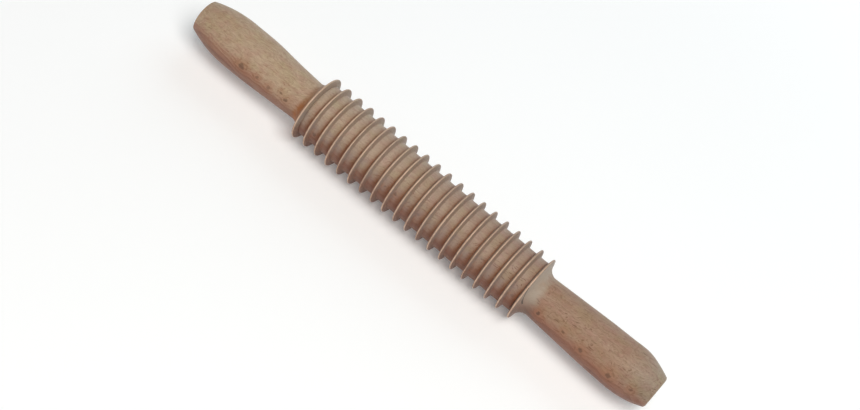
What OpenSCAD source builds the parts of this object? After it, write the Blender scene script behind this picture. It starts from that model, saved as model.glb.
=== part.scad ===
// Two-handled wooden foot massage roller.
// A ridged barrel turns on a steel axle between two turned handles. Each handle
// begins with a guard: a collar of the same outline as the barrel's ridges.
// X runs along the roller, and the origin is the middle of its whole length on
// the axle's axis. The two grips are turned by eye, so each has its own length.

/* [Barrel] */
// Diameter over the ridges and over the two guards
ridge_d = 49.2; // [47:0.2:54]
// Number of ridges on the turning barrel
ridge_count = 18; // [12:2:18]
// Distance from one ridge to the next
ridge_pitch = 10; // [8:0.5:10]
// Diameter at the bottom of the grooves
groove_d = 40.3; // [37:0.1:42]
// Width of a ridge across its rounded rim
rim_w = 1.4; // [0.8:0.1:1.8]
// Lean of a ridge's flank away from square, in degrees
flank_lean = 15; // [4:1:18]
// Radius in the corner between a flank and its groove
root_r = 0.9; // [0.3:0.1:1.1]

/* [Handles] */
// Length of the left handle from the middle of its guard's rim
left_len = 102.5; // [92:0.5:120]
// Length of the right handle from the middle of its guard's rim
right_len = 105.5; // [92:0.5:120]
// Length of the left handle's dome, from the swell to the end face
left_dome = 32; // [26:0.5:36]
// Length of the right handle's dome, from the swell to the end face
right_dome = 27.5; // [26:0.5:36]
// Radius of the hollow curve between a guard and its neck
neck_r = 7.2; // [5:0.2:8]
// Diameter at the neck, the thinnest place
neck_d = 30.6; // [28:0.2:33]
// Diameter at the swell, the thickest place of the grip
swell_d = 36; // [34:0.5:40]
// Diameter of the flat end face
end_d = 23.4; // [18:0.2:28]
// Bevel around the end face
end_bevel = 0.5; // [0.2:0.1:1]

/* [Axle and bearings] */
// Diameter of the axle where the bushes run
axle_d = 10; // [9:0.5:11]
// Diameter of the axle's stubs, held in the handles
stub_d = 8; // [6:0.5:8]
// Length of each stub beyond the axle's shoulder
stub_len = 28; // [20:1:29]
// Clearance between the axle and a bush, on the diameter
running_clearance = 0.1; // [0.04:0.02:0.18]
// Outer diameter of a bush's sleeve
bush_d = 16; // [14:0.5:18]
// Length of a bush's sleeve below its flange
bush_len = 18; // [12:1:24]
// Diameter of a bush's flange
flange_d = 24; // [20:0.5:27]
// Thickness of a bush's flange
flange_t = 2; // [1.5:0.1:3]
// Diameter of a thrust washer
washer_d = 22; // [18:0.5:24]
// Thickness of a thrust washer
washer_t = 1.5; // [1:0.1:2]
// Outer diameter of a threaded insert
insert_d = 12; // [10:0.5:14]
// Length of a threaded insert
insert_len = 30; // [30:1:36]

/* [Gaps] */
// Gap between the barrel's end and a guard
end_gap = 0.3; // [0.2:0.05:0.6]
// Gap between a bush's flange and its washer
thrust_gap = 0.12; // [0.1:0.01:0.16]

/* [Hidden] */
$fn = 96;

WOOD = [0.66, 0.53, 0.42];
STEEL = [0.70, 0.71, 0.73];
NYLON = [0.90, 0.89, 0.85];
BRASS = [0.80, 0.63, 0.30];

ridge_r = ridge_d / 2;
groove_r = groove_d / 2;
rim_r = rim_w / 2;
arc_steps = 6;

// the guards stand one pitch outside the last ridges
guard_x = (ridge_count + 1) * ridge_pitch / 2;
// the barrel's middle, counted from the middle of the whole length
barrel_x = (left_len - right_len) / 2;

// a leaning flank touches the rim's arc and the corner's arc, and this is how
// far apart along X the two arcs' centres then are
function flank_run(corner_r, floor_r) =
    (rim_r + corner_r + (ridge_r - rim_r - floor_r - corner_r) * sin(flank_lean))
    / cos(flank_lean);
foot_run = flank_run(root_r, groove_r);
neck_x = guard_x + flank_run(neck_r, neck_d / 2);

// the guard's inner flank runs straight down into the joint with the barrel
face_x = guard_x - (rim_r + (ridge_r - rim_r - groove_r) * sin(flank_lean))
    / cos(flank_lean);
barrel_half = face_x - end_gap;

// the grip is a straight taper for this share of its length, then one long arc
taper_share = 0.57;

// bearings: the axle's shoulder, the washer and the guard's face are one plane
flange_x = face_x - thrust_gap;
axle_hole_d = axle_d + 2;
insert_x = face_x + washer_t;
insert_hole_len = insert_len + 2;
washer_hole_d = stub_d + 0.2;
washer_seat_d = washer_d + 0.4;
flange_seat_d = flange_d + 0.4;

// points [x, radius] on an arc
function arc(x, r, arc_r, from, to, steps = arc_steps) =
    [for (i = [0:steps]) let (a = from + (to - from) * i / steps)
        [x + arc_r * cos(a), r + arc_r * sin(a)]];

// outline of one ridge, from left to right
function ridge(x) = concat(
    arc(x - foot_run, groove_r + root_r, root_r, 270, 360 - flank_lean),
    arc(x, ridge_r - rim_r, rim_r, 180 - flank_lean, flank_lean),
    arc(x + foot_run, groove_r + root_r, root_r, 180 + flank_lean, 270));

// outline of a guard and its neck, up to a taper that rises at this angle
function guard_and_neck(taper_angle) = concat(
    arc(guard_x, ridge_r - rim_r, rim_r, 180 - flank_lean, flank_lean),
    arc(neck_x, neck_d / 2 + neck_r, neck_r, 180 + flank_lean, 270 + taper_angle, 16));

// the long arc from the end of the taper up to the swell
function swell(swell_x, taper_angle) =
    let (arc_r = (1 - taper_share) * (swell_x - neck_x) / sin(taper_angle))
    arc(swell_x, swell_d / 2 - arc_r, arc_r, 90 + taper_angle, 90);

// the dome falls from the swell to the end face's bevel in one arc
function dome(swell_x, dome_len) =
    let (run = dome_len - end_bevel, drop = (swell_d - end_d) / 2 - end_bevel,
         arc_r = (run * run + drop * drop) / (2 * drop))
    arc(swell_x, swell_d / 2 - arc_r, arc_r, 90, 90 - asin(run / arc_r), 12);

// outline of a whole handle, from its face against the barrel to its end face
function handle_outline(handle_len, dome_len) =
    let (end_x = guard_x + handle_len, swell_x = end_x - dome_len,
         taper_angle = 2 * atan((swell_d - neck_d) / 2
             / ((1 + taper_share) * (swell_x - neck_x))))
    concat([[face_x, 0]],
        guard_and_neck(taper_angle), swell(swell_x, taper_angle), dome(swell_x, dome_len),
        [[end_x, end_d / 2], [end_x, 0]]);

// turns an outline of [x, radius] points about the X axis
module turned(outline) {
    rotate([0, 90, 0])
        rotate_extrude()
            polygon([for (p = outline) [p[1], p[0]]]);
}

// a round bar or drilling along X, from x to x + len
module bar(d, x, len) {
    translate([x, 0, 0])
        rotate([0, 90, 0])
            cylinder(d = d, h = len);
}

// children that are built about the barrel's middle, put in place
module in_place() {
    translate([barrel_x, 0, 0]) children();
}

// children at the right end, or mirrored to the left end
module at_end(side) {
    if (side == "left") mirror([1, 0, 0]) children();
    else children();
}

module barrel_blank() {
    turned(concat(
        [[-barrel_half, 0], [-barrel_half, groove_r]],
        [for (i = [0:ridge_count - 1])
            each ridge((i - (ridge_count - 1) / 2) * ridge_pitch)],
        [[barrel_half, groove_r], [barrel_half, 0]]));
}

module barrel() {
    bush_seat_x = flange_x - flange_t - bush_len;
    color(WOOD)
    in_place() difference() {
        barrel_blank();
        bar(axle_hole_d, -barrel_half - 1, 2 * barrel_half + 2);
        for (side = ["left", "right"]) at_end(side) {
            bar(bush_d, bush_seat_x, bush_len + flange_t + 1);
            bar(flange_seat_d, flange_x - flange_t, flange_t + 1);
        }
    }
}

module handle(side, handle_len, dome_len) {
    color(WOOD)
    in_place() at_end(side) difference() {
        union() {
            turned(handle_outline(handle_len, dome_len));
            // the inner flank ends square on the plane of the joint
            bar(groove_d, face_x, guard_x - face_x);
        }
        bar(washer_seat_d, face_x - 1, washer_t + 1);
        bar(insert_d, face_x, washer_t + insert_hole_len);
    }
}

module axle() {
    stub_r = stub_d / 2;
    stub_bevel = 0.6;
    stub_end = face_x + stub_len;
    right_half = [[face_x, axle_d / 2], [face_x, stub_r],
        [stub_end - stub_bevel, stub_r], [stub_end, stub_r - stub_bevel], [stub_end, 0]];
    color(STEEL)
    in_place() turned(concat(
        [for (i = [len(right_half) - 1:-1:0]) [-right_half[i][0], right_half[i][1]]],
        right_half));
}

module bush(side) {
    color(NYLON)
    in_place() at_end(side) difference() {
        union() {
            bar(bush_d, flange_x - flange_t - bush_len, bush_len + flange_t);
            bar(flange_d, flange_x - flange_t, flange_t);
        }
        bar(axle_d + running_clearance, flange_x - flange_t - bush_len - 1,
            bush_len + flange_t + 2);
    }
}

module washer(side) {
    color(STEEL)
    in_place() at_end(side) difference() {
        bar(washer_d, face_x, washer_t);
        bar(washer_hole_d, face_x - 1, washer_t + 2);
    }
}

module insert(side) {
    ring_groove = 0.8;
    color(BRASS)
    in_place() at_end(side) difference() {
        bar(insert_d, insert_x, insert_len);
        bar(stub_d, insert_x - 1, insert_len + 2);
        // grooves that the glue keys into
        for (x = [insert_len / 5:insert_len / 5:insert_len - 1])
            translate([insert_x + x, 0, 0]) difference() {
                bar(insert_d + 1, 0, ring_groove);
                bar(insert_d - ring_groove, -1, ring_groove + 2);
            }
    }
}

module left_handle() { handle("left", left_len, left_dome); }
module right_handle() { handle("right", right_len, right_dome); }
module left_bush() { bush("left"); }
module right_bush() { bush("right"); }
module left_washer() { washer("left"); }
module right_washer() { washer("right"); }
module left_insert() { insert("left"); }
module right_insert() { insert("right"); }

barrel();
left_handle();
right_handle();
axle();
left_bush();
right_bush();
left_washer();
right_washer();
left_insert();
right_insert();
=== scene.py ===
import math

import bmesh
import bpy
import numpy as np
from mathutils import Matrix, Vector


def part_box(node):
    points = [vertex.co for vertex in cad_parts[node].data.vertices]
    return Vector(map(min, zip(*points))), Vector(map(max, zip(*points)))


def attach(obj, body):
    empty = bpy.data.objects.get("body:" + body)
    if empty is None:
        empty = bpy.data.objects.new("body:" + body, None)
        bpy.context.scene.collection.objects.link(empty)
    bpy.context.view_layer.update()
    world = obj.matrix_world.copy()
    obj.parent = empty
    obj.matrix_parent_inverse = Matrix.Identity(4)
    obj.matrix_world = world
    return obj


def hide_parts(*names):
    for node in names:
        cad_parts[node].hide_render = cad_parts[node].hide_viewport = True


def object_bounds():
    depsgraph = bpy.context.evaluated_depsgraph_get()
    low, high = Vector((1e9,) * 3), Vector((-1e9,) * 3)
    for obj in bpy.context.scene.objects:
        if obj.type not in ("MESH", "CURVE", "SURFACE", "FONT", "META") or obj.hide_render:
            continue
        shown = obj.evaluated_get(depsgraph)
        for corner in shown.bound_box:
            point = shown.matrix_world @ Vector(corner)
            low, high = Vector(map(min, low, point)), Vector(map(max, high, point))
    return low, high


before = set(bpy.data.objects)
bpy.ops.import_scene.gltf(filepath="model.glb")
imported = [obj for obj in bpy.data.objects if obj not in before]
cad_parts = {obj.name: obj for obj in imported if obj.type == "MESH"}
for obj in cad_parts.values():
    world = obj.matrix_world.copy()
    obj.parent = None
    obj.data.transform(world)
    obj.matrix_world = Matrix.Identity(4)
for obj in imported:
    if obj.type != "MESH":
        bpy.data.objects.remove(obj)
cad_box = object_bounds()
MM = 0.001

# ---------------------------------------------------------------- sizes, in metres

RIDGES = 18
PITCH = 10 * MM
RIM_R = 0.7 * MM
FLANK_LEAN = math.radians(15)
ROOT_R = 0.9 * MM
NECK_R = 7.2 * MM
GROOVE_TO_RIDGE = 40.3 / 49.2  # each diameter beside the ridges'
NECK_TO_RIDGE = 30.6 / 49.2
SWELL_TO_RIDGE = 36 / 49.2
END_TO_RIDGE = 23.4 / 49.2
LEFT_DOME = 32 * MM
RIGHT_DOME = 27.5 * MM
END_BEVEL = 0.5 * MM
TAPER_SHARE = 0.57
BUSH_R = 8 * MM
FLANGE_T = 2 * MM

barrel_lo, barrel_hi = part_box("barrel")
MIDDLE = (barrel_lo.x + barrel_hi.x) / 2
BARREL_HALF = (barrel_hi.x - barrel_lo.x) / 2
RIDGE_R = barrel_hi.z
GROOVE_R = RIDGE_R * GROOVE_TO_RIDGE
NECK_END_R = RIDGE_R * NECK_TO_RIDGE
SWELL_R = RIDGE_R * SWELL_TO_RIDGE
END_R = RIDGE_R * END_TO_RIDGE
GUARD_X = (RIDGES + 1) / 2 * PITCH
FACE_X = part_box("right_handle")[0].x - MIDDLE
LEFT_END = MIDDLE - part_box("left_handle")[0].x
RIGHT_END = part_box("right_handle")[1].x - MIDDLE

AXLE_HOLE_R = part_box("axle")[1].z + 1 * MM
FLANGE_SEAT_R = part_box("right_bush")[1].z + 0.2 * MM
FLANGE_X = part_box("right_bush")[1].x - MIDDLE
BUSH_END_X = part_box("right_bush")[0].x - MIDDLE
WASHER_SEAT_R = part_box("right_washer")[1].z + 0.2 * MM
WASHER_BACK_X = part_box("right_washer")[1].x - MIDDLE
INSERT_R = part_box("right_insert")[1].z
INSERT_HOLE_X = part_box("right_insert")[1].x - MIDDLE + 2 * MM

# ---------------------------------------------------------------- the way the camera looks

ELEVATION = math.radians(50)
TO_CAMERA = Vector((0, -math.cos(ELEVATION), math.sin(ELEVATION)))
ABOVE = Vector((0, math.sin(ELEVATION), math.cos(ELEVATION)))  # towards the upper edge in the view

# ---------------------------------------------------------------- outlines, as [x, radius] points

UP = math.pi / 2
DOWN = 1.5 * math.pi
LEFT = math.pi


def arc(x, r, radius, start, stop, step):
    """Points on an arc about [x, r], with angles in radians and a step in metres."""
    count = max(2, int(abs(stop - start) * abs(radius) / step) + 1)
    angles = np.linspace(start, stop, count + 1)
    return [(x + radius * math.cos(a), r + radius * math.sin(a)) for a in angles]


def line(a, b, step):
    """Points between a and b, leaving both out."""
    count = max(1, int(math.dist(a, b) / step))
    shares = [i / count for i in range(1, count)]
    return [(a[0] + (b[0] - a[0]) * share, a[1] + (b[1] - a[1]) * share) for share in shares]


def joined(*stretches, step):
    """One outline through the stretches, with points along the straight gaps between them."""
    out = list(stretches[0])
    for stretch in stretches[1:]:
        out += line(out[-1], stretch[0], step) + list(stretch)
    return out


def flank_run(corner_r, floor_r, ridge_r, rim_r, lean):
    """How far along X a corner's centre is from the rim's, with a leaning flank between the two arcs."""
    height = ridge_r - rim_r - floor_r - corner_r
    return (rim_r + corner_r + height * math.sin(lean)) / math.cos(lean)


def ridge(x, ridge_r, groove_r, rim_r, lean):
    """One ridge from its left foot to its right foot."""
    run = flank_run(ROOT_R, groove_r, ridge_r, rim_r, lean)
    root_step = 0.3 * MM
    rim_step = 0.24 * MM
    return joined(
        arc(x - run, groove_r + ROOT_R, ROOT_R, DOWN, 2 * math.pi - lean, root_step),
        arc(x, ridge_r - rim_r, rim_r, LEFT - lean, UP, rim_step),
        arc(x, ridge_r - rim_r, rim_r, UP, lean, rim_step)[1:],
        arc(x + run, groove_r + ROOT_R, ROOT_R, LEFT + lean, DOWN, root_step),
        step=1.2 * MM,
    )


def uneven_ridge(x, rng):
    """One ridge as a hand turns it: a few hundredths of a millimetre off, and a degree in its lean."""
    return ridge(
        x + rng.normal(0, 0.06 * MM),
        RIDGE_R + rng.normal(-0.05, 0.06) * MM,
        GROOVE_R + rng.normal(0, 0.05) * MM,
        RIM_R * (1 + rng.normal(0, 0.07)),
        FLANK_LEAN * (1 + rng.normal(0, 0.08)),
    )


def barrel_outline(seed):
    """A closed loop: the ridged outside, then back through the bush seats and the axle's hole."""
    rng = np.random.default_rng(seed)
    ridges = [uneven_ridge((i - (RIDGES - 1) / 2) * PITCH, rng) for i in range(RIDGES)]
    corner = 0.1 * MM
    lip_x = BARREL_HALF + 0.18 * MM
    lip_r = GROOVE_R - 1.4 * MM
    left_lip = [(-lip_x, lip_r), (-lip_x, GROOVE_R), (-lip_x + corner, GROOVE_R + corner)]
    right_lip = [(-x, r) for x, r in reversed(left_lip)]
    inside = [
        (BARREL_HALF, GROOVE_R - 1.5 * MM),
        (BARREL_HALF, FLANGE_SEAT_R),
        (FLANGE_X - FLANGE_T, FLANGE_SEAT_R),
        (FLANGE_X - FLANGE_T, BUSH_R),
        (BUSH_END_X, BUSH_R),
        (BUSH_END_X, AXLE_HOLE_R),
    ]
    inside += [(-x, r) for x, r in reversed(inside)]
    return joined(left_lip, *ridges, right_lip, step=1.2 * MM) + inside


def handle_outline(end_x, dome_len):
    """From the axis in the insert's hole, over the guard and the grip, to the axis at the end face."""
    neck_x = GUARD_X + flank_run(NECK_R, NECK_END_R, RIDGE_R, RIM_R, FLANK_LEAN)
    swell_x = end_x - dome_len
    grip_len = swell_x - neck_x
    taper = 2 * math.atan((SWELL_R - NECK_END_R) / ((1 + TAPER_SHARE) * grip_len))
    grip_r = (1 - TAPER_SHARE) * grip_len / math.sin(taper)
    run = dome_len - END_BEVEL
    drop = SWELL_R - END_R - END_BEVEL
    dome_r = (run * run + drop * drop) / (2 * drop)
    edge_r = 2 * END_BEVEL
    edge_turn = 0.38 * math.pi
    hole = [
        (INSERT_HOLE_X, 0),
        (INSERT_HOLE_X, INSERT_R),
        (WASHER_BACK_X, INSERT_R),
        (WASHER_BACK_X, WASHER_SEAT_R),
        (FACE_X, WASHER_SEAT_R),
    ]
    outside = joined(
        [(FACE_X, GROOVE_R)],
        arc(GUARD_X, RIDGE_R - RIM_R, RIM_R, LEFT - FLANK_LEAN, FLANK_LEAN, 0.16 * MM),
        arc(neck_x, NECK_END_R + NECK_R, NECK_R, LEFT + FLANK_LEAN, DOWN + taper, 0.45 * MM),
        arc(swell_x, SWELL_R - grip_r, grip_r, UP + taper, UP, 1.2 * MM),
        arc(swell_x, SWELL_R - dome_r, dome_r, UP, UP - math.asin(run / dome_r), 0.8 * MM),
        arc(end_x - edge_r, END_R - edge_r, edge_r, edge_turn, 0, 0.2 * MM),
        step=0.9 * MM,
    )
    mark_r = 1.2 * MM
    face = line((end_x, END_R - edge_r), (end_x, mark_r), 1.2 * MM)
    centre_mark = [
        (end_x, mark_r),
        (end_x - 0.1 * MM, 1.0 * MM),
        (end_x - 0.9 * MM, 0.25 * MM),
        (end_x - 1 * MM, 0),
    ]
    return hole + outside + face + centre_mark


# ---------------------------------------------------------------- turned meshes

SEGMENTS = 200
OFF_ROUND = 0.05 * MM
INSIDE_R = 14 * MM  # nearer the axis than this, inside and on the end faces, a surface runs true
AXIS_R = 1e-7  # a point nearer the axis than this is on it

# where the wood is fuller than a true turning: place from the barrel's middle, turn from the side
# that faces the camera towards the lower side, length along, and height (mm, degrees, mm, mm)
FULLER = (
    (-143, -80, 13, 0.5), (-95, -85, 3, 0.4), (-66, 85, 3, 0.5), (-52, 85, 12, 0.3),
    (40, 85, 3, 0.5), (57, 85, 3, 0.4), (78, 85, 9, 0.3), (182, -80, 9, 0.75),
)

# painted shade in the corners beside a ridge: which side of it, how strong, and how far it reaches
SHADE_BESIDE_RIDGES = ((-1, 1.0, 1.1 * MM), (-1, 0.62, 2.8 * MM), (1, 0.2, 0.6 * MM))


def eccentricity(x, angle, seed):
    """How far a hand-turned surface is off a true circle: smooth waves round it that change along it."""
    rng = np.random.default_rng(seed)
    off = np.zeros_like(angle)
    for waves in (1, 2, 3):
        along = rng.uniform(8, 20, 2)
        phase = rng.uniform(0, 2 * math.pi, 3)
        wave = np.sin(waves * angle + phase[0] + np.sin(along[0] * x + phase[1]))
        off += OFF_ROUND / waves * wave * np.cos(along[1] * x + phase[2])
    return off


def fullness(x, angle):
    """Extra radius at a place on the surface, with the angle counted from the Y axis."""
    extra = np.zeros_like(angle)
    for at, toward_lower, length, height in FULLER:
        centre = math.atan2(TO_CAMERA.z, TO_CAMERA.y) + math.radians(toward_lower)
        round_it = np.maximum(0, np.cos(angle - centre)) ** 2
        extra += height * MM * round_it * math.exp(-(((x / MM - at) / length) ** 2))
    return extra


def rubbed_rims(r):
    """1 on the rims of the ridges and guards, which hands and feet rub, and 0 below them."""
    return np.clip((r - (RIDGE_R - 0.4 * MM)) / (0.3 * MM), 0, 1)


def shade_in_corners(x, r):
    """How much painted shade the corners between the ridges and the grooves get, from 0 to 1."""
    painted_shade = np.zeros(len(x))
    foot_run = RIM_R + 0.75 * (RIDGE_R - GROOVE_R) * math.sin(FLANK_LEAN) + 0.5 * MM
    foot_r = GROOVE_R + 0.1 * MM
    for i in range(RIDGES + 2):
        ridge_x = (i - (RIDGES + 1) / 2) * PITCH
        for side, strength, reach in SHADE_BESIDE_RIDGES:
            foot_x = ridge_x + side * foot_run
            if abs(foot_x) <= GUARD_X:
                near = np.hypot(x - foot_x, r - foot_r)
                painted_shade = np.maximum(painted_shade, strength * np.exp(-((near / reach) ** 2)))
    return painted_shade


def steepness(profile):
    """1 where the outline runs straight in or out, across the grain, and 0 where it runs along it."""
    tangent = np.gradient(profile, axis=0)
    length = np.maximum(np.linalg.norm(tangent, axis=1), 1e-12)
    return np.abs(tangent[:, 1] / length)


def rings_of_points(x, r, seed):
    """Every vertex, the outline point that it comes from, and each ring's first vertex."""
    angle = np.linspace(0, 2 * math.pi, SEGMENTS, endpoint=False)
    verts = []
    owner = []
    starts = []
    for k in range(len(x)):
        starts.append(len(verts))
        if r[k] < AXIS_R:
            verts.append((MIDDLE + x[k], 0, 0))
            owner.append(k)
            continue
        radius = np.full(SEGMENTS, r[k])
        if r[k] > INSIDE_R:
            radius += eccentricity(x[k], angle, seed) + fullness(x[k], angle)
        verts += [(MIDDLE + x[k], far * math.cos(a), far * math.sin(a)) for a, far in zip(angle, radius)]
        owner += [k] * SEGMENTS
    return verts, owner, starts


def faces_between(r, starts, closed):
    """Quads from ring to ring, and triangles to a point on the axis."""
    count = len(r)
    pairs = [(k, k + 1) for k in range(count - 1)]
    if closed:
        pairs.append((count - 1, 0))
    faces = []
    for a, b in pairs:
        start_a = starts[a]
        start_b = starts[b]
        if r[a] < AXIS_R and r[b] < AXIS_R:
            continue
        for s in range(SEGMENTS):
            t = (s + 1) % SEGMENTS
            if r[a] < AXIS_R:
                faces.append((start_a, start_b + s, start_b + t))
            elif r[b] < AXIS_R:
                faces.append((start_a + s, start_b, start_a + t))
            else:
                faces.append((start_a + s, start_b + s, start_b + t, start_a + t))
    return faces


def turned(name, outline, body, node, seed, mirror=False, closed=False):
    """An outline turned about the roller's axis, in place of one CAD node."""
    profile = np.array(outline)
    x = -profile[:, 0] if mirror else profile[:, 0]
    r = profile[:, 1]
    verts, owner, starts = rings_of_points(x, r, seed)
    mesh = bpy.data.meshes.new(name)
    mesh.from_pydata(verts, [], faces_between(r, starts, closed))
    # the corner values are painted shade, darkest in the corners beside the ridges
    shades = {"wear": rubbed_rims(r), "corner_shade": shade_in_corners(x, r), "end_grain": steepness(profile)}
    for key, values in shades.items():
        attribute = mesh.attributes.new(key, "FLOAT", "POINT")
        attribute.data.foreach_set("value", values[owner].astype(np.float32))
    bm = bmesh.new()
    bm.from_mesh(mesh)
    bmesh.ops.recalc_face_normals(bm, faces=bm.faces)
    bm.to_mesh(mesh)
    bm.free()
    mesh.polygons.foreach_set("use_smooth", [True] * len(mesh.polygons))
    mesh.set_sharp_from_angle(angle=math.radians(50))
    piece = bpy.data.objects.new(name, mesh)
    bpy.context.scene.collection.objects.link(piece)
    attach(piece, body)
    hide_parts(node)
    return piece


# ---------------------------------------------------------------- shader helpers


def hex_colour(value):
    """An sRGB colour such as 0xB09A80 as linear RGBA."""
    parts = [(value >> shift & 255) / 255 for shift in (16, 8, 0)]
    return tuple(c / 12.92 if c <= 0.04045 else ((c + 0.055) / 1.055) ** 2.4 for c in parts) + (1.0,)


class Shader:
    """A material with one Principled shader, and short ways to add the nodes that feed it."""

    def __init__(self, name):
        self.material = bpy.data.materials.new(name)
        self.material.use_nodes = True
        self.tree = self.material.node_tree
        self.surface = self.tree.nodes["Principled BSDF"]

    def put(self, socket, value):
        if isinstance(value, bpy.types.NodeSocket):
            self.tree.links.new(value, socket)
        elif value is not None:
            socket.default_value = value

    def feed(self, name, value):
        """Gives one of the surface's own sockets a number, a colour or a node's output."""
        self.put(self.surface.inputs[name], value)

    def node(self, kind, output=0, inputs=(), **settings):
        n = self.tree.nodes.new(kind)
        for key, value in settings.items():
            setattr(n, key, value)
        for key, value in dict(inputs).items():
            self.put(n.inputs[key], value)
        return n.outputs[output]

    def maths(self, operation, a, b=None, clamp=False):
        n = self.tree.nodes.new("ShaderNodeMath")
        n.operation = operation
        n.use_clamp = clamp
        for socket, value in zip(n.inputs, (a, b)):
            self.put(socket, value)
        return n.outputs[0]

    def times(self, first, *others):
        for other in others:
            first = self.maths("MULTIPLY", first, other)
        return first

    def plus(self, first, *others):
        for other in others:
            first = self.maths("ADD", first, other)
        return first

    def swing(self, noise, size):
        """A noise of 0 to 1 as a swing about nothing, this far from end to end."""
        return self.times(self.maths("SUBTRACT", noise, 0.5), size)

    def vector(self, operation, a, b=None, output=0):
        n = self.tree.nodes.new("ShaderNodeVectorMath")
        n.operation = operation
        for socket, value in zip(n.inputs, (a, b)):
            self.put(socket, value)
        return n.outputs[output]

    def vector_swing(self, noise, size):
        return self.vector("MULTIPLY", self.vector("SUBTRACT", noise, (0.5, 0.5, 0.5)), size)

    def xyz(self, x, y, z=0.0):
        return self.node("ShaderNodeCombineXYZ", inputs={0: x, 1: y, 2: z})

    def ranged(self, value, low, high, to_low=0.0, to_high=1.0):
        """Turns low to high into to_low to to_high, smoothly, and holds it beyond them."""
        return self.node(
            "ShaderNodeMapRange",
            inputs={0: value, 1: low, 2: high, 3: to_low, 4: to_high},
            interpolation_type="SMOOTHSTEP",
        )

    def mix(self, factor, a, b, blend="MIX"):
        n = self.tree.nodes.new("ShaderNodeMix")
        n.data_type = "RGBA"
        n.blend_type = blend
        for key, value in ((0, factor), (6, a), (7, b)):
            self.put(n.inputs[key], value)
        return n.outputs[2]

    def tint(self, colour, factor, shade):
        """Multiplies a colour by three numbers or a node's colour, as far as the factor says."""
        if isinstance(shade, tuple):
            shade = shade + (1,)
        return self.mix(factor, colour, shade, "MULTIPLY")

    def stain(self, colour, factor, over):
        """Lays a hex colour or a node's colour over another, as far as the factor says."""
        return self.mix(factor, colour, hex_colour(over) if isinstance(over, int) else over)

    def noise(self, vector, scale=1.0, detail=2.0, rough=0.5, colour=False):
        return self.node(
            "ShaderNodeTexNoise",
            output=1 if colour else 0,
            inputs={"Vector": vector, "Scale": scale, "Detail": detail, "Roughness": rough},
        )

    def millimetres(self):
        """A point's place in its own object, in millimetres."""
        return self.vector("MULTIPLY", self.node("ShaderNodeTexCoord", output=3), (1000, 1000, 1000))

    def stretched(self, vector, along, across, shift=(0, 0, 0)):
        """Millimetre coordinates divided by a length along the roller and a width across it."""
        return self.node(
            "ShaderNodeMapping",
            inputs={"Vector": vector, "Location": shift, "Scale": (1 / along, 1 / across, 1 / across)},
        )

    def bump(self, height, strength, distance):
        inputs = {"Height": height, "Strength": strength, "Distance": distance}
        self.feed("Normal", self.node("ShaderNodeBump", inputs=inputs))


# ---------------------------------------------------------------- wood

PALE_END = 0xB1987E
ROSY_END = 0x9C7D65
DRY_BARREL = 0xAA9A8D
PORE = 0x5E4433
# heartwood red, partly painted shade on the lower side
HEART_AND_SHADE = 0x91533A
HEART_RING = 0x74412B
KNOT = 0x472A15
KNOT_EYE = 0x6F4429
KNOT_HALO = 0x96603F
FLANK = 0x856D5C
# the right guard's hollow: end grain with a painted highlight above, and painted shade below
NECK_LIT = 0xA4998B
NECK_SHADED = 0x7C675A
END_EARLY = 0xA59985
END_LATE = 0x8E7B66
# colour of a painted sheen low down in the grooves
GROOVE_SHEEN = 0x8C8079
# colour of the painted shade in the corners between ridges and grooves
CORNER_SHADE = 0x783C0D
# rims rubbed pale by wear, with a painted highlight
RIM_WEAR_AND_HIGHLIGHT = 0xC8A88E
# painted shade with warm bounced light, for the left guard's hollow
HOLLOW_SHADE = 0x98561A
CRACK = 0x36302A

GUARD = GUARD_X / MM
BARREL_EDGE = (GUARD + 0.9, GUARD + 0.3)  # the barrel's look ends in this stretch of a guard's rim
AROUND = 17.0  # a mean radius, which turns radians into millimetres round the wood
RING_GAP = 2.3
LEAST_R = 15.0  # nearer the axis than this, low fades to nothing
CRACK_AROUND = 20.0  # the radius that turns radians into millimetres along the crack
FAR_FROM_KNOTS = 100.0

# small knots on one line along the roller: place from the barrel's middle, turn from the
# side that faces the camera towards the lower side, radius, and how dark (mm, degrees, mm, 0 to 1)
KNOTS = (
    (-150, 36, 2.4, 0.75), (-137, 33, 1.4, 0.6), (-126, 38, 1.6, 0.55), (-117, 28, 1.3, 0.7),
    (-112, 35, 1.8, 0.8), (-86, 36, 1.4, 0.7), (-81, 44, 1.7, 0.8), (-21, 30, 1.2, 0.8),
    (-12, 29, 1.5, 0.8), (8, 30, 1.3, 0.7), (57, 44, 1.8, 0.5), (90, 34, 1.2, 0.8),
    (110, 38, 1.9, 1.0), (130, 30, 1.4, 0.7), (146, 36, 2.0, 0.8), (170, 38, 2.2, 0.75),
    (187, 31, 1.5, 0.7),
)


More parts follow.
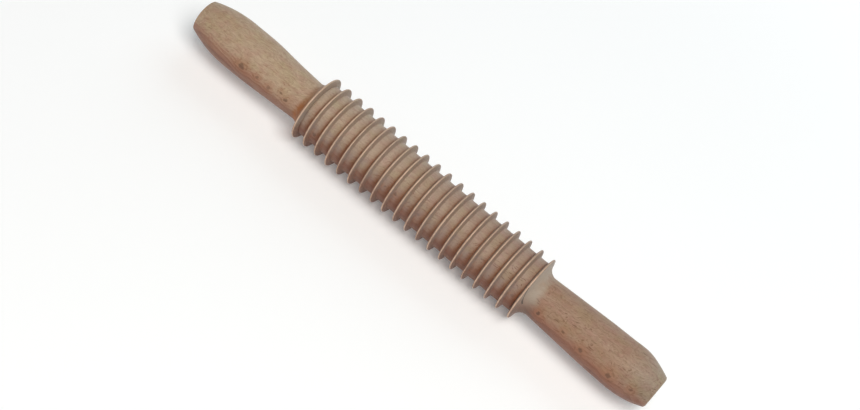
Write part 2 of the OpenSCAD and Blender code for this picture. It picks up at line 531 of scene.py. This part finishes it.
class Beech(Shader):
    """Oiled beech, one length of wood through the whole roller, in mm from the barrel's middle."""

    def __init__(self, name, seed):
        super().__init__(name)
        self.seed = seed
        self.find_place()
        self.find_knots()
        self.find_rings()
        self.find_grain()
        self.find_regions()
        colour = self.plain_wood()
        colour = self.heart_shade_and_knots(colour)
        colour = self.across_the_grain(colour)
        colour = self.grooves(colour)
        colour = self.shade_and_rubbing(colour)
        colour = self.shade_at_left_guard(colour)
        colour = self.cracked(colour)
        self.feed("Base Color", colour)
        self.gloss_and_relief()

    def find_place(self):
        """x along, radius from the axis, turn towards the lower side, and low from -1 up to 1 down."""
        self.mm = self.vector("ADD", self.millimetres(), (-MIDDLE / MM, 0, 0))
        self.x = self.node("ShaderNodeSeparateXYZ", inputs={0: self.mm})
        self.from_middle = self.maths("ABSOLUTE", self.x)
        self.toward = self.vector("DOT_PRODUCT", self.mm, tuple(TO_CAMERA), output=1)
        self.above = self.vector("DOT_PRODUCT", self.mm, tuple(ABOVE), output=1)
        self.radius = self.distance(self.above, self.toward)
        below = self.times(self.above, -1.0)
        self.turn = self.maths("ARCTAN2", below, self.toward)
        # the least radius keeps this smooth across the end faces
        self.low = self.maths("DIVIDE", below, self.maths("MAXIMUM", self.radius, LEAST_R))

    def distance(self, a, b):
        return self.maths("SQRT", self.plus(self.times(a, a), self.times(b, b)))

    def find_knots(self):
        """How dark a knot is here, the ring round some of them, and the halo of bent grain."""
        wander = self.noise(self.stretched(self.mm, 3.5, 3.5), detail=3, colour=True)
        flat = self.xyz(self.x, self.times(self.turn, AROUND))
        flat = self.vector("ADD", flat, self.vector_swing(wander, (4.0, 4.0, 0)))
        nearest = FAR_FROM_KNOTS
        self.knot = 0.0
        for x, turn, radius, darkness in KNOTS:
            centre = (x, math.radians(turn) * AROUND, 0)
            spot = self.vector("DISTANCE", flat, centre, output=1)
            spot = self.maths("DIVIDE", spot, radius)
            nearest = self.maths("MINIMUM", nearest, spot)
            self.knot = self.maths("MAXIMUM", self.knot, self.ranged(spot, 1.15, 0.5, 0, darkness))
        ring = self.times(self.ranged(nearest, 1.3, 1.9), self.ranged(nearest, 2.6, 2.0))
        some = self.noise(self.stretched(self.mm, 4, 4, (0, 3, 0)), detail=1)
        self.eye = self.times(ring, self.ranged(some, 0.5, 0.62))
        self.halo = self.ranged(nearest, 4.5, 0.8)

    def find_rings(self):
        """Growth rings: cylinders about a wavering pith line beyond the lower side."""
        pith_above = -46.0
        pith_toward = 16.0
        self.warp = self.noise(self.stretched(self.mm, 60, 22, (self.seed, 0, 0)), detail=3, rough=0.45)
        across = self.plus(self.above, self.times(self.x, 0.012), -pith_above)
        beside = self.plus(self.toward, self.times(self.x, -0.02), -pith_toward)
        from_pith = self.distance(across, beside)
        from_pith = self.plus(from_pith, self.swing(self.warp, 9.0), self.times(self.halo, 1.6))
        self.ring = self.maths("FRACT", self.maths("DIVIDE", from_pith, RING_GAP))
        self.late = self.times(self.ranged(self.ring, 0.25, 0.93), self.ranged(self.ring, 1.0, 0.95))

    def find_grain(self):
        """Streaks, fibres, figure, flecks and pores, all drawn out along the roller."""
        seed = self.seed
        mm = self.mm
        self.streak = self.noise(self.stretched(mm, 22, 1.8, (seed, 3, 1)), detail=4, rough=0.6)
        self.fibre = self.noise(self.stretched(mm, 4.5, 0.4, (2, seed, 5)), detail=3, rough=0.65)
        self.cloud = self.noise(self.stretched(mm, 14, 8, (4, seed, 2)), detail=2)
        self.blush = self.noise(self.stretched(mm, 7, 4.5, (seed, 9, 7)), detail=3)
        self.uneven = self.noise(self.stretched(mm, 4, 4, (seed, seed, 0)), detail=3)
        # the grain climbs and curls on the way to the right end
        curl = self.noise(self.stretched(mm, 15, 10, (seed, 5, 5)), detail=2, colour=True)
        climb = self.vector("SCALE", tuple(ABOVE))
        self.put(climb.node.inputs["Scale"], self.times(self.x, -0.2))
        bend = self.vector("ADD", self.vector_swing(curl, (0, 13.0, 13.0)), climb)
        bent = self.vector("ADD", mm, bend)
        self.figure = self.noise(self.stretched(bent, 5.5, 1.0, (3, seed, 6)), detail=3, rough=0.6)
        self.fleck = self.flecks(bent)
        pore = self.noise(self.stretched(mm, 1.1, 0.16, (8, 2, seed)), detail=1)
        self.pore = self.ranged(pore, 0.62, 0.72)

    def flecks(self, bent):
        """Ray flecks: the middles of some long cells, with more of them on the lower side."""
        cells = self.tree.nodes.new("ShaderNodeTexVoronoi")
        self.put(cells.inputs["Vector"], self.stretched(bent, 9, 1.25, (self.seed, 1, 8)))
        self.put(cells.inputs["Scale"], 1.0)
        chance = self.node("ShaderNodeSeparateXYZ", inputs={0: cells.outputs["Color"]})
        crowded = self.times(self.ranged(self.low, -0.5, 0.15), 0.4)
        chosen = self.ranged(self.plus(chance, crowded), 0.8, 0.98)
        return self.times(self.ranged(cells.outputs["Distance"], 0.42, 0.16), chosen)

    def find_regions(self):
        """The barrel's dry wood, the ridges' flanks, the right guard's hollow and the end faces."""
        self.wear = self.node("ShaderNodeAttribute", output=2, attribute_name="wear")
        # painted shade for the corners, stored on each vertex
        self.corner_shade = self.node("ShaderNodeAttribute", output=2, attribute_name="corner_shade")
        steep = self.node("ShaderNodeAttribute", output=2, attribute_name="end_grain")
        self.dry = self.ranged(self.from_middle, *BARREL_EDGE)
        self.flank = self.times(self.ranged(steep, 0.35, 0.95), self.dry)
        ragged = self.plus(self.x, self.swing(self.blush, 9.0), self.times(self.low, -2.5))
        on_right_guard = self.ranged(self.x, GUARD + 0.3, GUARD + 0.9)
        self.neck = self.times(self.ranged(ragged, GUARD + 14, GUARD + 4), on_right_guard)
        far_out = self.ranged(self.from_middle, 120, 130)
        self.end_face = self.times(self.ranged(steep, 0.6, 0.95), far_out)
        share = self.plus(self.x, self.swing(self.cloud, 60))
        self.end_to_end = self.ranged(share, -110, 110)

    def plain_wood(self):
        """Paler at the left end and rosier at the right, with its rings, figure, fibres and flecks."""
        tan = self.mix(self.end_to_end, hex_colour(PALE_END), hex_colour(ROSY_END))
        deep = self.tint(tan, 1.0, (0.62, 0.57, 0.52))
        streaked = self.tint(tan, 1.0, (0.94, 0.93, 0.92))
        colour = self.mix(self.ranged(self.streak, 0.3, 0.72), tan, streaked)
        colour = self.stain(colour, self.times(self.late, 0.14), deep)
        colour = self.tint(colour, self.ranged(self.figure, 0.51, 0.64), (0.82, 0.76, 0.71))
        colour = self.tint(colour, self.ranged(self.figure, 0.46, 0.36), (1.1, 1.1, 1.11))
        colour = self.stain(colour, self.times(self.dry, 0.3), DRY_BARREL)
        # painted light and shade: the right dome is lighter and greyer on its upper side and darker on
        # its lower side
        dome_light_and_shade = self.mix(self.ranged(self.low, -0.85, 0.4), (1.04, 1.32, 1.5, 1), (0.8, 0.93, 1.0, 1))
        colour = self.tint(colour, self.ranged(self.x, 168, 196), dome_light_and_shade)
        colour = self.tint(colour, self.ranged(self.cloud, 0.42, 0.68), (0.98, 1.02, 0.93))
        colour = self.tint(colour, self.ranged(self.blush, 0.45, 0.62), (0.97, 0.89, 0.91))
        colour = self.stain(colour, self.times(self.ranged(self.fibre, 0.5, 0.8), 0.55), deep)
        fleck_shade = self.mix(self.end_to_end, (0.8, 0.72, 0.66, 1), (0.62, 0.5, 0.43, 1))
        colour = self.tint(colour, self.fleck, fleck_shade)
        return self.stain(colour, self.times(self.pore, 0.42), PORE)

    def heart_shade_and_knots(self, colour):
        """The heart side is redder and darker, and it starts below the line of knots. Part of its
        darkness is painted shade on the lower side.
        """
        higher_at_left_end = self.ranged(self.x, -155, -185, 0, 0.2)
        edge = self.plus(self.low, self.swing(self.warp, 0.8), higher_at_left_end)
        # the heart side follows the lower side: partly heartwood, partly painted shade
        heart_and_shade = self.ranged(edge, 0.38, 0.86)
        colour = self.stain(colour, self.times(heart_and_shade, 0.62), HEART_AND_SHADE)
        colour = self.stain(colour, self.times(heart_and_shade, self.late, 0.45), HEART_RING)
        colour = self.stain(colour, self.times(self.halo, 0.35), KNOT_HALO)
        colour = self.stain(colour, self.times(self.eye, 0.45), KNOT_EYE)
        return self.stain(colour, self.times(self.knot, 0.72), KNOT)

    def across_the_grain(self, colour):
        """Flanks, the hollow and the end faces are cut across the grain, and they are greyer. The hollow
        also has a painted highlight above and painted shade below.
        """
        colour = self.stain(colour, self.times(self.flank, 0.4), FLANK)
        # painted light and shade in the right guard's hollow: lighter and greyer above, darker below
        lower = self.ranged(self.low, 0.1, 0.85)
        neck_lit_and_shaded = self.mix(lower, hex_colour(NECK_LIT), hex_colour(NECK_SHADED))
        colour = self.stain(colour, self.times(self.neck, 0.75), neck_lit_and_shaded)
        late = self.ranged(self.ring, 0.1, 0.9)
        end_tone = self.mix(late, hex_colour(END_EARLY), hex_colour(END_LATE))
        return self.stain(colour, self.times(self.end_face, 0.75), end_tone)

    def grooves(self, colour):
        """Each groove has a painted grey, cool sheen at its left and painted shade at its right, most of
        it below, and the lower side is painted darker.
        """
        pitch = PITCH / MM
        share = self.maths("FRACT", self.maths("DIVIDE", self.plus(self.x, pitch / 2), pitch))
        # painted shade at the right of each groove, where the next ridge shades it from the key light
        groove_shade = self.times(self.ranged(share, 0.35, 0.9), self.dry)
        colour = self.tint(colour, groove_shade, (0.98, 0.93, 0.87))
        # more painted shade at the right of each groove on the lower side
        groove_shade_below = self.times(groove_shade, self.ranged(self.low, 0.2, 0.85))
        colour = self.tint(colour, groove_shade_below, (0.52, 0.34, 0.2))
        # a painted grey sheen at the left of each groove, in a band below the middle
        band = self.times(self.ranged(self.low, 0.0, 0.4), self.ranged(self.low, 0.85, 0.6))
        patchy = self.ranged(self.blush, 0.36, 0.6, 0.35, 1.0)
        painted_sheen = self.times(band, self.ranged(share, 0.72, 0.4), self.dry, patchy)
        colour = self.stain(colour, self.times(painted_sheen, 0.5), GROOVE_SHEEN)
        # a painted cool sheen at the left of each groove
        cool_sheen = self.times(self.ranged(share, 0.5, 0.15), self.dry)
        colour = self.tint(colour, cool_sheen, (0.97, 0.99, 1.02))
        # painted shade: the lower side of the whole roller is darkened
        return self.tint(colour, self.ranged(self.low, 0.56, 0.92), (0.76, 0.7, 0.66))

    def shade_and_rubbing(self, colour):
        """Painted shade in the corners, most of it below, and pale rims where the oil has been rubbed
        off, with a painted highlight on them that is weaker on the upper side.
        """
        # painted shade in the corners, stronger and wider on the lower side
        painted_shade = self.maths("POWER", self.corner_shade, self.ranged(self.low, -0.4, 0.8, 1.7, 0.65))
        painted_shade = self.times(painted_shade, self.ranged(self.uneven, 0.25, 0.65, 0.65, 1.0))
        painted_shade = self.times(painted_shade, self.ranged(self.low, -0.55, 0.8, 0.6, 1.0))
        colour = self.stain(colour, painted_shade, CORNER_SHADE)
        # rims rubbed pale by wear, with a painted highlight that is weaker on the upper side
        rubbed_and_highlit = self.times(self.wear, self.ranged(self.uneven, 0.25, 0.6, 0.4, 0.95))
        rubbed_and_highlit = self.times(rubbed_and_highlit, self.ranged(self.low, -0.97, -0.3, 0.35, 1.0))
        return self.stain(colour, rubbed_and_highlit, RIM_WEAR_AND_HIGHLIGHT)

    def shade_at_left_guard(self, colour):
        """Painted shade and warm bounced light in the hollow beside the left guard."""
        # painted shade, wider on the lower side
        spread = self.plus(self.x, self.ranged(self.low, -0.2, 0.84, 0, 3.0))
        start = self.ranged(spread, -GUARD - 8, -GUARD - 3)
        stop = self.ranged(self.x, -GUARD - 0.4, -GUARD - 1.2)
        hollow_shade = self.times(start, stop, self.ranged(self.low, -0.64, 0.56, 0.35, 1.0))
        hollow_shade = self.times(hollow_shade, self.ranged(self.uneven, 0.3, 0.6, 0.7, 1.0))
        return self.stain(colour, hollow_shade, HOLLOW_SHADE)

    def cracked(self, colour):
        """A hairline crack in the right guard, from its rim down into the neck's hollow."""
        # its ends are [radius, millimetres round from the side that faces the camera]
        rim_end = Vector((24.2, 0.6, 0))
        hollow_end = Vector((18.0, 13.4, 0))
        way = hollow_end - rim_end
        wavy = self.plus(self.radius, self.swing(self.uneven, 1.6))
        face = self.xyz(wavy, self.times(self.turn, CRACK_AROUND))
        face = self.vector("SUBTRACT", face, tuple(rim_end))
        share = self.vector("DOT_PRODUCT", face, tuple(way / way.length_squared), output=1)
        share = self.maths("MULTIPLY", share, 1.0, clamp=True)
        reached = self.xyz(self.times(share, way.x), self.times(share, way.y))
        crack = self.ranged(self.vector("DISTANCE", face, reached, output=1), 0.6, 0.2)
        crack = self.times(crack, self.ranged(self.x, GUARD + 0.3, GUARD + 0.6))
        self.crack = self.times(crack, self.ranged(self.x, GUARD + 9, GUARD + 8))
        return self.stain(colour, self.times(self.crack, 0.85), CRACK)

    def gloss_and_relief(self):
        """Satin where hands rub it and duller across the grain. Tool marks go round, fibres along."""
        dull = self.maths("MAXIMUM", self.maths("MAXIMUM", self.flank, self.neck), self.end_face)
        rough = self.ranged(self.streak, 0.2, 0.8, 0.5, 0.64)
        rough = self.plus(rough, self.times(self.wear, -0.12), self.times(dull, 0.1))
        self.feed("Roughness", rough)
        self.feed("Specular IOR Level", 0.5)
        self.feed("Sheen Weight", 0.12)
        self.feed("Sheen Roughness", 0.4)
        tool_marks = self.noise(self.xyz(self.times(self.x, 1.9), 0.0), detail=3)
        height = self.plus(
            self.times(self.fibre, 0.5),
            self.times(tool_marks, 0.3),
            self.times(self.fleck, -0.25),
            self.times(self.figure, -0.6),
            self.times(self.pore, -0.5),
            self.times(self.knot, -0.6),
            self.times(self.crack, -1.5),
        )
        self.bump(height, 0.6, 0.12 * MM)


# ---------------------------------------------------------------- the other materials


def drawn_steel(name):
    """Drawn bar: fine scratches along it and a little oil."""
    s = Shader(name)
    place = s.millimetres()
    scratch = s.noise(s.stretched(place, 25, 0.15), detail=4, rough=0.6)
    film = s.noise(s.stretched(place, 9, 5), detail=3)
    s.feed("Base Color", s.mix(s.ranged(film, 0.3, 0.8), hex_colour(0xC4C6C9), hex_colour(0x9D9C98)))
    s.feed("Metallic", 1.0)
    s.feed("Roughness", s.ranged(scratch, 0.2, 0.8, 0.24, 0.42))
    s.bump(scratch, 0.3, 0.02 * MM)
    return s.material


def natural_nylon(name):
    """Turned natural nylon: milky, with faint tool rings."""
    s = Shader(name)
    place = s.millimetres()
    rings = s.noise(s.stretched(place, 0.25, 60), detail=2)
    cloud = s.noise(s.stretched(place, 6, 6), detail=3)
    s.feed("Base Color", s.mix(cloud, hex_colour(0xE9E6DA), hex_colour(0xD9D3C0)))
    s.feed("Roughness", s.ranged(rings, 0.2, 0.8, 0.38, 0.52))
    s.feed("Subsurface Weight", 0.15)
    s.feed("Subsurface Radius", (2 * MM, 2 * MM, 1.5 * MM))
    s.bump(rings, 0.25, 0.03 * MM)
    return s.material


def turned_brass(name):
    """Turned brass with a dull film."""
    s = Shader(name)
    place = s.millimetres()
    rings = s.noise(s.stretched(place, 0.2, 50), detail=3)
    film = s.noise(s.stretched(place, 4, 4), detail=4)
    s.feed("Base Color", s.mix(s.ranged(film, 0.35, 0.75), hex_colour(0xD9B36A), hex_colour(0xA07B3E)))
    s.feed("Metallic", 1.0)
    s.feed("Roughness", s.ranged(film, 0.2, 0.8, 0.25, 0.45))
    s.bump(rings, 0.3, 0.02 * MM)
    return s.material


def pale_floor(name):
    """A matt white studio floor, which is brighter away from the roller."""
    s = Shader(name)
    place = s.node("ShaderNodeTexCoord", output=3)
    cloud = s.noise(place, scale=3.0, detail=4)
    s.feed("Base Color", s.mix(cloud, (0.9, 0.9, 0.9, 1), (0.88, 0.88, 0.875, 1)))
    s.feed("Roughness", 0.8)
    s.feed("Emission Color", (1, 1, 1, 1))
    away = s.vector("LENGTH", place, output=1)
    s.feed("Emission Strength", s.ranged(away, 0.25, 1.6, 0.14, 0.75))
    return s.material


# ---------------------------------------------------------------- the pieces

wood = Beech("oiled_beech", 11).material
barrel = turned(
    "turned_barrel", barrel_outline(7),
    body="barrel", node="barrel", seed=21, closed=True,
)
right = turned(
    "turned_right_handle", handle_outline(RIGHT_END, RIGHT_DOME),
    body="frame", node="right_handle", seed=31,
)
left = turned(
    "turned_left_handle", handle_outline(LEFT_END, LEFT_DOME),
    body="frame", node="left_handle", seed=41, mirror=True,
)
for piece in (barrel, right, left):
    piece.data.materials.append(wood)

steel = drawn_steel("drawn_steel")
nylon = natural_nylon("natural_nylon")
brass = turned_brass("turned_brass")
finishes = {
    "axle": steel,
    "left_washer": steel,
    "right_washer": steel,
    "left_bush": nylon,
    "right_bush": nylon,
    "left_insert": brass,
    "right_insert": brass,
}
for node, material in finishes.items():
    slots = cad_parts[node].data.materials
    slots.clear()
    slots.append(material)

# ---------------------------------------------------------------- floor and light


def pale_ground(half):
    """A square floor under the roller, this far from its middle to each side."""
    mesh = bpy.data.meshes.new("floor")
    corners = [(-half, -half, 0), (half, -half, 0), (half, half, 0), (-half, half, 0)]
    mesh.from_pydata(corners, [], [(0, 1, 2, 3)])
    mesh.materials.append(pale_floor("pale_floor"))
    floor = bpy.data.objects.new("floor", mesh)
    floor.location.z = cad_box[0].z
    bpy.context.scene.collection.objects.link(floor)


def area_light(name, place, size, power, colour):
    """A square light that points at the middle of the roller."""
    data = bpy.data.lights.new(name, "AREA")
    data.shape = "SQUARE"
    data.size = size
    data.energy = power
    data.color = colour
    light = bpy.data.objects.new(name, data)
    light.location = place
    light.rotation_euler = (-place).to_track_quat("-Z", "Y").to_euler()
    bpy.context.scene.collection.objects.link(light)


def way_up(angle):
    """The direction to the camera, turned by an angle towards the roller's upper edge."""
    return TO_CAMERA * math.cos(angle) + ABOVE * math.sin(angle)


def studio_world(name, at_horizon, overhead, overhead_from):
    """White light from all round, whose strength falls from the horizon to overhead."""
    world = bpy.data.worlds.new(name)
    world.use_nodes = True
    nodes = world.node_tree.nodes
    links = world.node_tree.links
    sky = nodes["Background"]
    sky.inputs["Color"].default_value = (1, 1, 1, 1)
    way = nodes.new("ShaderNodeTexCoord")
    split = nodes.new("ShaderNodeSeparateXYZ")
    strength = nodes.new("ShaderNodeMapRange")
    limits = {"From Min": 0.0, "From Max": overhead_from, "To Min": at_horizon, "To Max": overhead}
    for key, value in limits.items():
        strength.inputs[key].default_value = value
    links.new(way.outputs["Generated"], split.inputs[0])
    links.new(split.outputs["Z"], strength.inputs["Value"])
    links.new(strength.outputs["Result"], sky.inputs["Strength"])
    bpy.context.scene.world = world


pale_ground(half=8.0)

KEY_ABOVE = math.radians(20)  # above the camera's line of sight
KEY_RIGHT = math.radians(16)  # to its right
KEY_FAR = 2.4
FILL_ABOVE = math.radians(97)  # just behind the roller's upper edge
FILL_FAR = 1.8
key_way = way_up(KEY_ABOVE) * math.cos(KEY_RIGHT) + Vector((math.sin(KEY_RIGHT), 0, 0))
area_light("key", key_way * KEY_FAR, size=1.5, power=49, colour=(1.0, 0.98, 0.95))
area_light("fill", way_up(FILL_ABOVE) * FILL_FAR, size=1.6, power=9, colour=(0.68, 0.88, 1.0))
studio_world("studio", at_horizon=0.85, overhead=0.18, overhead_from=0.3)
bpy.context.scene.view_settings.view_transform = "Standard"

# ---------------------------------------------------------------- camera

ROLL = math.radians(39.96)
LENS = 71.4  # mm on a 36 mm sensor
CAMERA_FROM_AXIS = 1.1233
CAMERA_ALONG = 0.19183  # from the barrel's middle towards the right handle
AIM_ALONG = 0.00726
AIM_BELOW = 0.53 * MM

aim = Vector((MIDDLE + AIM_ALONG, 0, 0)) - ABOVE * AIM_BELOW
eye = Vector((MIDDLE + CAMERA_ALONG, 0, 0)) + TO_CAMERA * CAMERA_FROM_AXIS
back = (eye - aim).normalized()
along = (Vector((1, 0, 0)) - back * back.x).normalized()
upward = back.cross(along)
side = along * math.cos(ROLL) + upward * math.sin(ROLL)
top = upward * math.cos(ROLL) - along * math.sin(ROLL)
camera_data = bpy.data.cameras.new("camera")
camera_data.lens = LENS
camera_data.sensor_width = 36
camera_data.clip_start = 0.01
camera_data.clip_end = 50
camera = bpy.data.objects.new("camera", camera_data)
camera.matrix_world = Matrix.Translation(eye) @ Matrix((side, top, back)).transposed().to_4x4()
bpy.context.scene.collection.objects.link(camera)
bpy.context.scene.camera = camera
